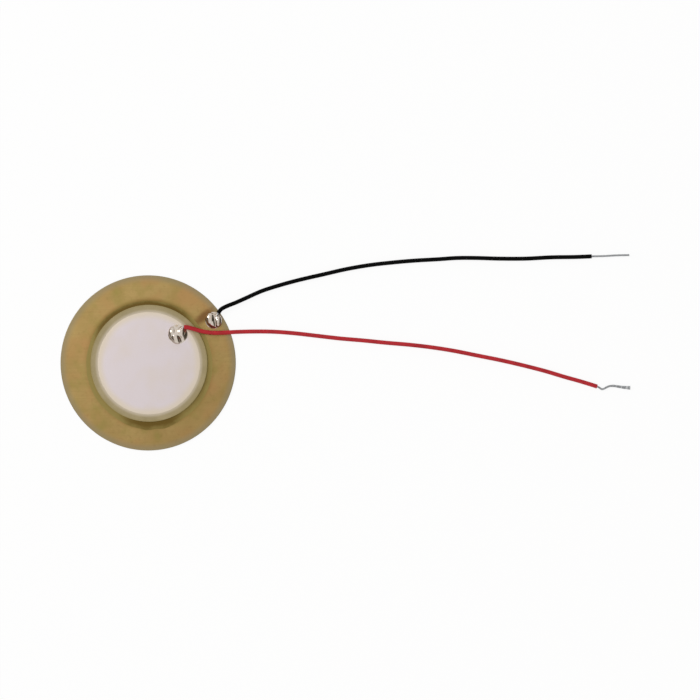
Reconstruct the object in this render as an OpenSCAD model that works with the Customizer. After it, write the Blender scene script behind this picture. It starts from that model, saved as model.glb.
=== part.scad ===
// Piezo disc: a silvered piezo ceramic glued on a round brass plate, with one stranded lead soldered to the
// brass and one to the silver. The disc lies flat, brass side down, and both leads run out along the table.
// The origin is the centre of the plate's lower face, +Z is up and the leads leave towards +X.

/* [Plate] */
// Diameter of the stamped brass plate
plate_d = 27; // [20:0.5:41]
// Thickness of the brass plate
plate_t = 0.3; // [0.15:0.05:0.6]
// Radius that stamping rolls onto the plate's upper edge
plate_edge_r = 0.06; // [0.02:0.01:0.1]
// Width of the bare brass border round the ceramic
brass_border = 4.5; // [4:0.1:6]

/* [Ceramic] */
// Thickness of the piezo ceramic
ceramic_t = 0.205; // [0.17:0.005:0.4]
// Width of the bare ceramic border round the upper electrode
upper_border = 1.1; // [0.5:0.05:2]
// Width of the bare ceramic border round the lower electrode
lower_border = 0.4; // [0.1:0.05:1]
// Thickness of each printed silver electrode
electrode_t = 0.01; // [0.006:0.001:0.02]
// How far the ceramic is glued off the plate's centre
ceramic_shift = 0.15; // [0.05:0.05:0.3]
// Direction in which the ceramic is off the plate's centre, in degrees
ceramic_shift_angle = -20; // [-180:5:180]

/* [Bond] */
// Thickness of the epoxy film under the lower electrode
bond_t = 0.015; // [0.01:0.005:0.03]
// Mean width of the epoxy bead squeezed out round the ceramic
bead_w = 0.9; // [0.6:0.05:1.1]
// Mean height of the bead against the ceramic's wall
bead_h = 0.11; // [0.08:0.01:0.14]
// How far the bead is off the ceramic's centre, because the ceramic slid over the wet epoxy
bead_shift = 0.25; // [0.05:0.05:0.4]
// Direction in which the bead is widest, in degrees
bead_shift_angle = -80; // [-180:5:180]

/* [Solder joints] */
// Foot diameter of the joint on the brass
brass_joint_d = 2.7; // [2.2:0.1:3]
// Height of the joint on the brass
brass_joint_h = 0.8; // [0.7:0.05:1.2]
// Direction of the joint on the brass, seen from the plate's centre, in degrees
brass_joint_angle = 33; // [25:1:60]
// Foot diameter of the joint on the silver
electrode_joint_d = 3.1; // [2.2:0.1:3.4]
// Height of the joint on the silver
electrode_joint_h = 0.7; // [0.65:0.05:1.2]
// Direction of the joint on the silver, seen from the ceramic's centre, in degrees
electrode_joint_angle = 45; // [30:1:60]
// Radius of the hollow curve where the solder wets its seat
wetting_r = 0.35; // [0.2:0.05:0.5]
// Thickness of the solder at its thin outer edge
wetting_edge_t = 0.015; // [0.01:0.005:0.03]
// Clear edge between a joint and the rim of the flat face under it
joint_margin = 0.04; // [0.02:0.01:0.5]
// Wall of the solder neck that is drawn out along the strands, at its thin end
neck_wall = 0.05; // [0.03:0.01:0.1]
// Gap between the strands and the solder that holds them
solder_fit = 0.01; // [0.005:0.005:0.03]

/* [Leads] */
// Outer diameter of an insulated lead
wire_d = 0.64; // [0.5:0.02:0.8]
// Gap under a lead where its insulation is cut, beside its joint
lead_lift = 0.1; // [0.06:0.02:0.3]
// Diameter of one tinned strand
strand_d = 0.1; // [0.08:0.005:0.12]
// Gap between neighbouring strands
strand_gap = 0.01; // [0.006:0.001:0.02]
// Turn of the strands round the core strand along each millimetre, in degrees
strand_turn = 72; // [40:4:100]
// How many times wider the strands lie apart at the frayed end of the red lead
fray = 2.2; // [1:0.1:2.4]

/* [Hidden] */

// Sides of a lead, sides of a strand, and strands laid round the core strand
lead_sides = 8;
strand_sides = 6;
outer_strands = 6;
// Rings of a lead for each point of its route, and the spacing of the rings along bare strands
lead_steps = 2;
strand_ring_gap = 0.4;
// Straight pieces in each curve of the solder's outline
outline_steps = 8;

// Diameters of the layers glued on the plate, and the height at which each one starts
ceramic_d = plate_d - 2 * brass_border;
upper_electrode_d = ceramic_d - 2 * upper_border;
lower_electrode_d = ceramic_d - 2 * lower_border;
lower_electrode_z = plate_t + bond_t;
ceramic_z = lower_electrode_z + electrode_t;
upper_electrode_z = ceramic_z + ceramic_t;
stack_t = upper_electrode_z + electrode_t;

// Axis of the layers glued on the plate
stack_at = foot(ceramic_shift, ceramic_shift_angle, 0);

// Radius at which the strands lie round the core strand, and the diameter of the whole bundle
lay_r = strand_d + strand_gap;
bundle_d = 2 * lay_r + strand_d;

// Bore for the strands in the solder, and the solder neck round it: its two diameters, and where it starts
// and ends, in points of the lead's line before the cut insulation
bore_d = (bundle_d + 2 * solder_fit) / cos(180 / lead_sides);
neck_d = bore_d + 2 * neck_wall;
neck_root_d = bore_d + 4 * neck_wall;
neck_start = 2;
neck_end = 0.6;
neck_steps = 4;

// Feet of the two joints, each just inside the rim of the face that it is soldered to
brass_joint_r = plate_d / 2 - plate_edge_r - joint_margin - brass_joint_d / 2;
brass_joint_at = foot(brass_joint_r, brass_joint_angle, plate_t);
electrode_joint_r = upper_electrode_d / 2 - joint_margin - electrode_joint_d / 2;
electrode_joint_at = stack_at + foot(electrode_joint_r, electrode_joint_angle, stack_t);

// Bare tails inside and beside the joints: across and along from the joint's foot, and height above it
black_tail = [[-0.3, -0.5, 0.24], [0.05, 0.2, 0.28], [0.42, 0.68, 0.36]];
red_tail = [[-0.5, -0.4, 0.23], [0, 0.3, 0.29], [0.52, 0.84, 0.36]];

// Insulated leads, from the cut beside the joint to the stripped end: across and along from the joint's foot,
// and the share of the climb from lying on the table to the height of the cut
black_route = [
    [0.72, 1.1, 1], [1.2, 1.72, 0.97], [2.15, 2.22, 0.8], [3.4, 2.72, 0.47], [5, 3.44, 0.17],
    [7.5, 4.55, 0.02], [10.5, 5.5, 0], [13.5, 6.3, 0], [17, 7.1, 0], [20.5, 7.9, 0], [24, 8.5, 0],
    [27.5, 8.9, 0], [31, 9.2, 0], [34.5, 9.4, 0], [37.5, 9.6, 0], [40.5, 9.6, 0],
    [44, 9.5, 0], [48, 9.5, 0], [52, 9.7, 0], [55.5, 9.75, 0], [58.2, 9.85, 0],
];
red_route = [
    [1, 1.1, 1], [1.85, 0.98, 0.97], [2.75, 0.74, 0.9], [3.85, 0.43, 0.78], [4.9, 0.26, 0.68],
    [6.15, 0.21, 0.61], [7.4, 0.26, 0.56], [8.6, 0.34, 0.47], [10.2, 0.4, 0.27], [12.5, 0.43, 0.08],
    [15, 0.38, 0.01], [18, 0.15, 0], [21.5, -0.25, 0], [25, -0.65, 0], [28.5, -0.95, 0],
    [32, -1.3, 0], [35.5, -1.6, 0], [39, -2, 0], [42.5, -2.55, 0], [46, -3.25, 0],
    [49.5, -3.95, 0], [53, -4.75, 0], [56.5, -5.65, 0], [59.5, -6.55, 0], [62, -7.25, 0],
    [64.55, -8.05, 0],
];

// Stripped tips beyond the insulation, straight on the black lead and kinked on the red one
black_tip = [[60.1, 9.9, 0], [62, 10, 0], [64, 10.05, 0]];
red_tip = [[65.36, -8.45, 0], [66.26, -8.05, 0], [67.06, -7.95, 0], [68.46, -8.15, 0], [69.66, -8.25, 0]];

// Centre line of each lead from inside its joint to its far end, and the points where its insulation starts
// and stops
black_line = centre_line(brass_joint_at, black_tail, black_route, black_tip);
black_cut = len(black_tail);
black_strip = black_cut + len(black_route) - 1;
red_line = centre_line(electrode_joint_at, red_tail, red_route, red_tip);
red_cut = len(red_tail);
red_strip = red_cut + len(red_route) - 1;

// Place on a face at height z, at a distance and a direction from the axis of the plate or of the ceramic
function foot(r, angle, z) = [r * cos(angle), r * sin(angle), z];

// Height of a lead's axis over the table, for a share of the climb to its cut end over the face at height z
function axis_z(share, z) = wire_d / 2 + share * (z + lead_lift);

// All points of a lead in the disc's frame
function centre_line(at, tail, route, tip) = concat(
    [for (p = tail) at + p],
    [for (p = concat(route, tip)) [at.x + p.x, at.y + p.y, axis_z(p.z, at.z)]]
);

// Vector of length one
function unit(v) = v / norm(v);

// Point i of a line, which carries on straight past both of its ends
function knot(line, i) =
    let (last = len(line) - 1)
    i < 0 ? 2 * line[0] - line[1] :
    i > last ? 2 * line[last] - line[last - 1] :
    line[i];

// The four points that shape the smooth curve through a line at u, which counts its points from the start
function knots(line, u) =
    let (i = min(floor(u), len(line) - 2))
    [for (k = [-1:2]) knot(line, i + k)];

// How far u has gone from one point of a line to the next
function part_way(line, u) = u - min(floor(u), len(line) - 2);

// Place on that curve
function spot(line, u) =
    let (k = knots(line, u), f = part_way(line, u))
    let (bend = 2 * k[0] - 5 * k[1] + 4 * k[2] - k[3], swing = 3 * (k[1] - k[2]) + k[3] - k[0])
    k[1] + f * (k[2] - k[0] + f * (bend + f * swing)) / 2;

// Heading of that curve
function heading(line, u) =
    let (k = knots(line, u), f = part_way(line, u))
    let (bend = 2 * k[0] - 5 * k[1] + 4 * k[2] - k[3], swing = 3 * (k[1] - k[2]) + k[3] - k[0])
    unit(k[2] - k[0] + f * (2 * bend + 3 * f * swing));

// Corners of one ring across that curve, with the ring's middle moved sideways and upwards by off
function ring(line, u, d, sides, off) =
    let (ahead = heading(line, u), side = unit(cross([0, 0, 1], ahead)), up = cross(ahead, side))
    [
        for (k = [0:sides - 1])
            let (turn = 360 * (k + 0.5) / sides)
            spot(line, u) + (off.x + d / 2 * cos(turn)) * side + (off.y + d / 2 * sin(turn)) * up
    ];

// Number of steps from ring to ring along a bare stretch of a line
function bare_steps(line, from, to) = ceil(norm(spot(line, to) - spot(line, from)) / strand_ring_gap);

// Closed tube through rings of corners
module tube(rings) {
    sides = len(rings[0]);
    last = len(rings) - 1;
    start_cap = [for (k = [0:sides - 1]) k];
    end_cap = [for (k = [sides - 1:-1:0]) last * sides + k];
    walls = [
        for (j = [0:last - 1], k = [0:sides - 1])
            let (a = j * sides + k, b = j * sides + (k + 1) % sides)
            each [[a, a + sides, b + sides], [a, b + sides, b]]
    ];
    polyhedron([for (r = rings) each r], concat([start_cap, end_cap], walls));
}

// Round tube along a stretch of a line, tapering from one diameter to another
module sweep(line, from, to, steps, d_from, d_to) {
    tube([
        for (j = [0:steps])
            let (share = j / steps)
            ring(line, from + share * (to - from), d_from + share * (d_to - d_from), lead_sides, [0, 0])
    ]);
}

// Bare strands along a stretch of a line: a core, and a ring of strands that turn round it and spread at
// the end
module strands(line, from, to, spread) {
    start = spot(line, from);
    steps = bare_steps(line, from, to);
    for (strand = [0:outer_strands])
        tube([
            for (j = [0:steps])
                let (share = j / steps, u = from + share * (to - from))
                let (r = strand == 0 ? 0 : lay_r * (1 + (spread - 1) * pow(share, 3)))
                let (turn = 360 * strand / outer_strands + strand_turn * norm(spot(line, u) - start))
                ring(line, u, strand_d, strand_sides, r * [cos(turn), sin(turn)])
        ]);
}

// Half outline of a solder joint: a hollow curve that wets the seat, running into a round crown
function solder_outline(d, h) =
    let (rise = h - wetting_edge_t, reach = (d * d / 4 + rise * rise) / (2 * rise))
    let (crown_r = reach - wetting_r, lean = asin((d / 2) / reach))
    concat(
        [[0, 0], [d / 2, 0]],
        [
            for (k = [0:outline_steps])
                let (turn = lean * k / outline_steps)
                [d / 2 - wetting_r * sin(turn), wetting_edge_t + wetting_r * (1 - cos(turn))]
        ],
        [
            for (k = [1:outline_steps])
                let (turn = lean * (1 - k / outline_steps))
                [crown_r * sin(turn), h - crown_r * (1 - cos(turn))]
        ]
    );

// Solder joint with the strands' bore through it, and a short neck of solder drawn out along the strands
module solder_joint(at, d, h, line, cut) {
    difference() {
        union() {
            translate(at) rotate_extrude($fn = 96) polygon(solder_outline(d, h));
            sweep(line, cut - neck_start, cut - neck_end, neck_steps, neck_root_d, neck_d);
        }
        sweep(line, 0, cut, bare_steps(line, 0, cut), bore_d, bore_d);
    }
}

// Stamped round plate with a rolled upper edge
module brass_plate() {
    color("#a88c58") rotate_extrude($fn = 180) {
        square([plate_d / 2 - plate_edge_r, plate_t]);
        square([plate_d / 2, plate_t - plate_edge_r]);
        translate([plate_d / 2 - plate_edge_r, plate_t - plate_edge_r]) circle(r = plate_edge_r, $fn = 32);
    }
}

// Epoxy film with its squeezed-out bead, shaped round the ceramic and its lower electrode
module bond_layer() {
    color("#7a683b") translate(stack_at) difference() {
        translate(foot(bead_shift, bead_shift_angle, plate_t))
            cylinder(r1 = ceramic_d / 2 + bead_w, r2 = ceramic_d / 2 - bead_w, h = 2 * bead_h, $fn = 180);
        translate([0, 0, ceramic_z]) cylinder(d = ceramic_d, h = 2 * bead_h, $fn = 180);
        translate([0, 0, lower_electrode_z]) cylinder(d = lower_electrode_d, h = 2 * bead_h, $fn = 180);
    }
}

module lower_electrode() {
    color("#cfc6c2") translate(stack_at + [0, 0, lower_electrode_z])
        cylinder(d = lower_electrode_d, h = electrode_t, $fn = 180);
}

module ceramic_disc() {
    color("#a39471") translate(stack_at + [0, 0, ceramic_z])
        cylinder(d = ceramic_d, h = ceramic_t, $fn = 180);
}

module upper_electrode() {
    color("#d6cbc8") translate(stack_at + [0, 0, upper_electrode_z])
        cylinder(d = upper_electrode_d, h = electrode_t, $fn = 180);
}

module brass_solder_joint() {
    color("#b9b2ad") solder_joint(brass_joint_at, brass_joint_d, brass_joint_h, black_line, black_cut);
}

module electrode_solder_joint() {
    color("#b9b2ad")
        solder_joint(electrode_joint_at, electrode_joint_d, electrode_joint_h, red_line, red_cut);
}

module black_lead() {
    color("#101010")
        sweep(black_line, black_cut, black_strip, lead_steps * (black_strip - black_cut), wire_d, wire_d);
}

module black_lead_tail() {
    color("#b5b0aa") strands(black_line, 0, black_cut, 1);
}

module black_lead_tip() {
    color("#b5b0aa") strands(black_line, black_strip, len(black_line) - 1, 1);
}

module red_lead() {
    color("#c8262a") sweep(red_line, red_cut, red_strip, lead_steps * (red_strip - red_cut), wire_d, wire_d);
}

module red_lead_tail() {
    color("#b5b0aa") strands(red_line, 0, red_cut, 1);
}

module red_lead_tip() {
    color("#b5b0aa") strands(red_line, red_strip, len(red_line) - 1, fray);
}

brass_plate();
bond_layer();
lower_electrode();
ceramic_disc();
upper_electrode();
brass_solder_joint();
electrode_solder_joint();
black_lead();
black_lead_tail();
black_lead_tip();
red_lead();
red_lead_tail();
red_lead_tip();
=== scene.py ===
"""Piezo disc: a silvered piezo ceramic glued on a round brass plate, with two stranded leads soldered on.

The file is laid out as an add-on and is run as a script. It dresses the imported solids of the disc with
finished pieces and materials, and sets a plain studio round them. Lengths are in metres, unless a comment
says that they are in millimetres.
"""

import math

import bmesh
import bpy
from bpy.props import FloatProperty, FloatVectorProperty, PointerProperty
from mathutils import Matrix, Vector, noise
from mathutils.geometry import interpolate_bezier, intersect_point_line


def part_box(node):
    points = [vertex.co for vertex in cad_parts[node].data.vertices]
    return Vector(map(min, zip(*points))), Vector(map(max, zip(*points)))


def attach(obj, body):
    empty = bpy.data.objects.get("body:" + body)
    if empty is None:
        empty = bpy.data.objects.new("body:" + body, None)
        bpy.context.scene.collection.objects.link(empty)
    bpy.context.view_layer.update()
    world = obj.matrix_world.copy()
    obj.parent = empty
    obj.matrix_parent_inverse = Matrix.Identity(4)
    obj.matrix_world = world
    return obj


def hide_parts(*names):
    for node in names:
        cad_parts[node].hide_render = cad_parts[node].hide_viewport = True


bl_info = {
    "name": "Piezo disc",
    "version": (1, 0, 0),
    "blender": (4, 5, 0),
    "location": "3D View > Sidebar > Piezo disc",
    "description": "Builds the dressed model of a piezo disc with two soldered leads",
    "category": "Object",
}

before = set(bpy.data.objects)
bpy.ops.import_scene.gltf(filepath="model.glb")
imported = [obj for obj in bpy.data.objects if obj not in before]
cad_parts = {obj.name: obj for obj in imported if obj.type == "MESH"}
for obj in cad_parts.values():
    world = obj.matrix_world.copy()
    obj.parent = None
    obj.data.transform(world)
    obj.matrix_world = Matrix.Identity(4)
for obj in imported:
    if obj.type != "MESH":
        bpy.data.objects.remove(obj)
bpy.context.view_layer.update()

MM = 0.001


def round_node(node):
    """Radius, lower height and upper height of a round node."""
    low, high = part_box(node)
    return (high.x - low.x) / 2, low.z, high.z


def foot_of(node, height):
    """Middle of a round node, at a height."""
    low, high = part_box(node)
    return Vector(((low.x + high.x) / 2, (low.y + high.y) / 2, height))


PLATE_R, PLATE_LOW, PLATE_TOP = round_node("brass_plate")
CERAMIC_R, CERAMIC_LOW, CERAMIC_TOP = round_node("ceramic_disc")
SILVER_R, SILVER_LOW, SILVER_TOP = round_node("upper_electrode")
BACK_SILVER_R, BACK_SILVER_LOW, _ = round_node("lower_electrode")
BEAD_R, _, _ = round_node("bond_layer")
BRASS_JOINT_R, BRASS_JOINT_LOW, _ = round_node("brass_solder_joint")
SILVER_JOINT_R, SILVER_JOINT_LOW, _ = round_node("electrode_solder_joint")
# The ceramic is glued a little off the plate's centre, and the glue came out more on one side of it
CERAMIC_AT = foot_of("ceramic_disc", 0)
BEAD_SHIFT = foot_of("bond_layer", 0) - CERAMIC_AT
BRASS_FOOT = foot_of("brass_solder_joint", BRASS_JOINT_LOW)
SILVER_FOOT = foot_of("electrode_solder_joint", SILVER_JOINT_LOW)

# Routes of the leads in millimetres, across and along from the foot of the joint. The third number of a tail
# point is its height above the foot. In a route and a tip it is the share of the climb from lying on the
# table to the height of the cut insulation.
BLACK_TAIL = [(-0.3, -0.5, 0.24), (0.05, 0.2, 0.28), (0.42, 0.68, 0.36)]
BLACK_ROUTE = [
    (0.72, 1.1, 1), (1.2, 1.72, 0.97), (2.15, 2.22, 0.8), (3.4, 2.72, 0.47), (5, 3.44, 0.17),
    (7.5, 4.55, 0.02), (10.5, 5.5, 0), (13.5, 6.3, 0), (17, 7.1, 0), (20.5, 7.9, 0), (24, 8.5, 0),
    (27.5, 8.9, 0), (31, 9.2, 0), (34.5, 9.4, 0), (37.5, 9.6, 0), (40.5, 9.6, 0),
    (44, 9.5, 0), (48, 9.5, 0), (52, 9.7, 0), (55.5, 9.75, 0), (58.2, 9.85, 0),
]
BLACK_TIP = [(60.1, 9.9, 0), (62, 10, 0), (64, 10.05, 0)]
RED_TAIL = [(-0.5, -0.4, 0.23), (0, 0.3, 0.29), (0.52, 0.84, 0.36)]
RED_ROUTE = [
    (1, 1.1, 1), (1.85, 0.98, 0.97), (2.75, 0.74, 0.9), (3.85, 0.43, 0.78), (4.9, 0.26, 0.68),
    (6.15, 0.21, 0.61), (7.4, 0.26, 0.56), (8.6, 0.34, 0.47), (10.2, 0.4, 0.27), (12.5, 0.43, 0.08),
    (15, 0.38, 0.01), (18, 0.15, 0), (21.5, -0.25, 0), (25, -0.65, 0), (28.5, -0.95, 0),
    (32, -1.3, 0), (35.5, -1.6, 0), (39, -2, 0), (42.5, -2.55, 0), (46, -3.25, 0),
    (49.5, -3.95, 0), (53, -4.75, 0), (56.5, -5.65, 0), (59.5, -6.55, 0), (62, -7.25, 0),
    (64.55, -8.05, 0),
]
RED_TIP = [(65.36, -8.45, 0), (66.26, -8.05, 0), (67.06, -7.95, 0), (68.46, -8.15, 0), (69.66, -8.25, 0)]
# Strands that turn round the core of a lead, and the fray of a tip that stayed together
OUTER_STRANDS = 6
NO_FRAY = 1.0
# Cut end of the insulation: its rounded edge, the gap round the strands, and the socket's depth and taper
CUT_EDGE = 0.05 * MM
SOCKET_GAP = 0.06 * MM
SOCKET_DEPTH = 0.25 * MM
SOCKET_TAPER = 0.005 * MM
# Specular level of the insulation, low because soft light and handling take its gloss
BLACK_GLOSS = 0.04
RED_GLOSS = 0.15

# Height of each joint's crown without its lumps, radius of the hollow foot where the solder wets its seat,
# and depth of the base that is cut off at the seat
BRASS_CROWN = 0.62 * MM
SILVER_CROWN = 0.52 * MM
FOOT_HOLLOW = 0.35 * MM
BASE_DEPTH = 0.3 * MM
# Lumps of solder in millimetres: middle of each lump from the foot of its joint, its three half sizes, and
# its turn round the upright in degrees. The last lump of a joint is the neck round its strands.
BRASS_LUMPS = [
    ((-0.5, 0.25, 0.14), (0.72, 0.95, 0.6), 6),
    ((0.7, -0.12, 0.12), (0.62, 0.94, 0.56), -4),
    ((0.47, 0.74, 0.34), (0.31, 0.28, 0.26), 54),
]
SILVER_LUMPS = [
    ((-0.32, -0.48, 0.03), (0.72, 1.08, 0.6), 24),
    ((-0.82, 0.22, 0.0), (0.66, 0.95, 0.56), 4),
    ((0.48, 0.28, 0.08), (0.68, 0.92, 0.54), -8),
    ((0.72, 0.95, 0.34), (0.28, 0.28, 0.26), 30),
]
# Dents where the solder set as the iron left it, in millimetres: both ends, half width and depth
BRASS_DENTS = [((0.14, 0.25), (0.3, -0.85), 0.19, 0.16)]
SILVER_DENTS = [((0.4, -0.45), (0.78, -1.3), 0.24, 0.25)]
# Skin of the solder, in millimetres: height under which a dent fades out, passes of smoothing that melt the
# lumps together, and the height and width of its ripples
DENT_FADE = 0.4
MELT_PASSES = 16
RIPPLE_HEIGHT = 0.012
RIPPLE_WIDTH = 0.6

# Where the epoxy came out thick: direction round the ceramic in degrees, half widths in degrees of the full
# flow and of all of it, and its strength
GLUE_FLOWS = [(100, 38, 64, 1.0), (274, 11, 38, 1.0), (318, 10, 50, 0.35)]
# Drops of epoxy that ran out further: direction and half width in degrees, extra share of the bead's width
GLUE_DROPS = [(-91, 6, 0.22), (-76, 6, 0.2)]
# Hollow face of the bead from the ceramic outwards: share of its width, and of its height
BEAD_FACE = [(0.25, 0.45), (0.5, 0.2), (0.75, 0.06), (1.0, 0.0)]
# Waves of the bead's edge and crest: share of its width or height, and length of a wave
BEAD_EDGE_WAVES = [(0.1, 1.5 * MM), (0.05, 0.5 * MM)]
BEAD_CREST_WAVE = (0.1, 2.5 * MM)
# How far the rim of the printed silver waves, and how long its waves are
SILVER_WAVE = 0.06 * MM
SILVER_WAVE_LENGTHS = (1.2 * MM, 0.4 * MM)

# Fineness of the meshes: steps of a spun piece and of a spun joint, steps of the arcs in a joint's outline,
# sides of a wire and of a strand, and steps between two points of a route and of a bare end
SPIN_STEPS = 360
JOINT_STEPS = 64
ARC_STEPS = 8
WIRE_SIDES = 16
STRAND_SIDES = 12
ROUTE_STEPS = 6
BARE_STEPS = 10
# Vertices closer than this are merged, places closer than this count as on a wall, and faces that meet at
# more than this angle show an edge
MERGE_GAP = 0.0005 * MM
WALL_GAP = 0.01 * MM
SHARP_ANGLE = math.radians(40)

# Stage: half size of the paper and its gap under the plate, place and size of the soft box
PAPER_HALF = 3.0
PAPER_GAP = 0.01 * MM
KEY_AT = (-0.5, 0.25, 0.5)
KEY_SIZE = 0.24
# Light tent, by the sideways part of a direction: where its dark sides begin and where they are full, and
# how far the tent stands to one side
TENT_WALL = 0.4
TENT_OPEN = 0.8
TENT_LEAN = 0.08

# Sockets of a Mix node for colours. They go by number, because its other kinds of value have the same names
SHARE, FIRST, SECOND, MIXED = 0, 6, 7, 2


def linear(code):
    """Linear colour of an sRGB hex value."""
    shares = [int(code[i:i + 2], 16) / 255 for i in (1, 3, 5)]
    return tuple(s / 12.92 if s <= 0.04045 else ((s + 0.055) / 1.055) ** 2.4 for s in shares)


def length(name, description, default):
    """Length that a user may change."""
    return FloatProperty(
        name=name, description=description, default=default, min=0.0, precision=5,
        subtype="DISTANCE", unit="LENGTH",
    )


def colour(name, description, code):
    """Colour that a user may change, written as an sRGB hex value."""
    return FloatVectorProperty(
        name=name, description=description, default=linear(code), size=3, min=0.0, max=1.0, subtype="COLOR",
    )


class PiezoDiscSizes(bpy.types.PropertyGroup):
    """Sizes of the plate and of what is glued and soldered on it"""

    plate_radius: length("Plate radius", "Radius of the stamped brass plate", PLATE_R)
    plate_edge: length("Plate edge", "Radius that stamping rolls onto the upper edge", 0.06 * MM)
    ceramic_radius: length("Ceramic radius", "Radius of the piezo ceramic", CERAMIC_R)
    silver_radius: length("Silver radius", "Radius of the printed silver", SILVER_R)
    bead_width: length("Glue bead width", "Mean width of the epoxy round the ceramic", BEAD_R - CERAMIC_R)
    bead_shift: FloatVectorProperty(
        name="Glue bead shift", description="How far the epoxy was squeezed to one side, across and along",
        default=BEAD_SHIFT.xy, size=2, precision=5, subtype="XYZ", unit="LENGTH",
    )
    bead_height: length("Glue bead height", "Height of the epoxy at the ceramic's wall", 0.11 * MM)
    solder_voxel: length("Solder detail", "Smallest detail of the melted solder", 0.03 * MM)


class PiezoLeadSizes(bpy.types.PropertyGroup):
    """Sizes of the two leads"""

    wire_diameter: length("Wire diameter", "Outer diameter of an insulated lead", 0.64 * MM)
    strand_diameter: length("Strand diameter", "Diameter of one tinned strand", 0.1 * MM)
    strand_gap: length("Strand gap", "Gap between neighbouring strands", 0.01 * MM)
    lift: length("Lift", "Gap under a lead where its insulation is cut", 0.1 * MM)
    black_length: length("Black lead length", "Length of the black insulation", 59.1 * MM)
    red_length: length("Red lead length", "Length of the red insulation", 64.3 * MM)
    strand_turn: FloatProperty(
        name="Strand turn", description="Turn of the strands along each millimetre",
        default=math.radians(72), subtype="ANGLE", unit="ROTATION",
    )
    fray: FloatProperty(
        name="Fray", description="How many times wider the strands lie at the frayed red tip",
        default=2.2, min=1.0, subtype="FACTOR",
    )


class PiezoColours(bpy.types.PropertyGroup):
    """Colours of the finishes"""

    brass: colour("Brass", "Rolled brass of the plate", "#a28753")
    brass_pale: colour("Pale brass", "Cleaner patches of the brass", "#ad925d")
    brass_olive: colour("Olive brass", "Olive bloom on the brass", "#97864b")
    brass_copper: colour("Coppery brass", "Patches of brass that lost some zinc", "#ae8857")
    # Colour of the tarnished flecks on the brass, and of the painted shade towards the plate's front right
    tarnish_and_shade: colour("Tarnish", "Tarnished brass", "#876d42")
    burnt_flux: colour("Burnt flux", "Brown flux beside the joints", "#6a4326")
    worn_edge: colour("Worn edge", "Rubbed edge of the plate", "#918466")
    epoxy: colour("Epoxy", "Thick epoxy at the ceramic's wall", "#69531f")
    epoxy_thin: colour("Thin epoxy", "Feather edge of the epoxy over brass", "#94834a")
    ceramic: colour("Ceramic", "Bare piezo ceramic", "#a6966f")
    ceramic_dark: colour("Dark ceramic", "Stained piezo ceramic", "#8d7e58")
    silver: colour("Silver", "Printed and fired silver", "#d9cfd1")
    silver_rim: colour("Silver rim", "Thin rim of the printed silver", "#d9ccbb")
    solder: colour("Solder", "Tin-lead solder", "#cdc2b7")
    flux: colour("Flux", "Clear flux on the solder", "#a98d5c")
    tinned: colour("Tinned copper", "Tin on the copper strands", "#b4b6b8")
    black_pvc: colour("Black PVC", "Insulation of the black lead", "#040404")
    red_pvc: colour("Red PVC", "Insulation of the red lead", "#ba2830")
    tent_side: colour("Tent side", "Tint of the light tent's dark sides, seen in the solder", "#fff4da")
    floor: colour("Floor", "Paper that the disc lies on", "#fdfdfd")


class PiezoStage(bpy.types.PropertyGroup):
    """Camera and light"""

    lens: FloatProperty(
        name="Lens", description="Focal length of the camera", default=100.0, min=1.0,
        subtype="DISTANCE_CAMERA", unit="CAMERA",
    )
    frame_width: length("Frame width", "Width that the picture shows at the plate's upper face", 107.83 * MM)
    aim_across: FloatProperty(
        name="Aim across", description="Middle of the picture, across from the disc's axis",
        default=31.1 * MM, subtype="DISTANCE", unit="LENGTH",
    )
    aim_along: FloatProperty(
        name="Aim along", description="Middle of the picture, along from the disc's axis",
        default=1.99 * MM, subtype="DISTANCE", unit="LENGTH",
    )
    overhead: FloatProperty(
        name="Overhead light", description="Brightness of the light tent above, behind and in front",
        default=0.99, min=0.0,
    )
    surround: FloatProperty(
        name="Surround", description="Brightness of the light tent's two dark sides", default=0.08, min=0.0,
    )
    key_power: FloatProperty(
        name="Key light", description="Power of the soft box at the upper left", default=1.6, min=0.0,
        subtype="POWER", unit="POWER",
    )
    paper_glow: FloatProperty(
        name="Paper glow", description="How much of the shadow on the white paper is lifted", default=0.9,
        min=0.0, max=1.0, subtype="FACTOR",
    )


def add(tree, kind, inputs=None, out=0, **settings):
    """Add a shader node of a kind, such as Math, with its settings, values and links. Return an output."""
    made = tree.nodes.new("ShaderNode" + kind)
    for key, value in settings.items():
        setattr(made, key, value)
    for key, value in (inputs or {}).items():
        if isinstance(value, bpy.types.NodeSocket):
            tree.links.new(value, made.inputs[key])
        else:
            made.inputs[key].default_value = value
    return made.outputs[out] if made.outputs else made


def new_material(name):
    """Empty node material of a name, its node tree and its Object coordinates."""
    material = bpy.data.materials.new(name)
    material.use_nodes = True
    tree = material.node_tree
    tree.nodes.clear()
    return material, tree, add(tree, "TexCoord", out="Object")


def rgba(paint):
    """Colour of a property with full alpha, as the colour sockets take it."""
    return (*paint, 1.0)


def per_mm(size):
    """Scale of a texture whose features are about this many millimetres wide."""
    return 1 / (size * MM)


def glue_share(tree, flat):
    """Share of the full flow of glue at a place, by its direction from the middle of the ceramic."""
    out = add(tree, "VectorMath", {0: flat, 1: CERAMIC_AT}, operation="SUBTRACT")
    out = add(tree, "VectorMath", {0: out}, operation="NORMALIZE")
    share = 0.0
    for at, full, end, most in GLUE_FLOWS:
        way = Matrix.Rotation(math.radians(at), 3, "Z") @ Vector((1, 0, 0))
        off = add(tree, "VectorMath", {0: out, 1: way}, out="Value", operation="DOT_PRODUCT")
        near, far = (math.cos(math.radians(a)) for a in (full, end))
        flow = add(tree, "MapRange",
                   {"Value": off, "From Min": far, "From Max": near, "To Max": most},
                   interpolation_type="SMOOTHSTEP")
        share = add(tree, "Math", {0: flow, 1: share}, operation="MAXIMUM")
    return share


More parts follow.
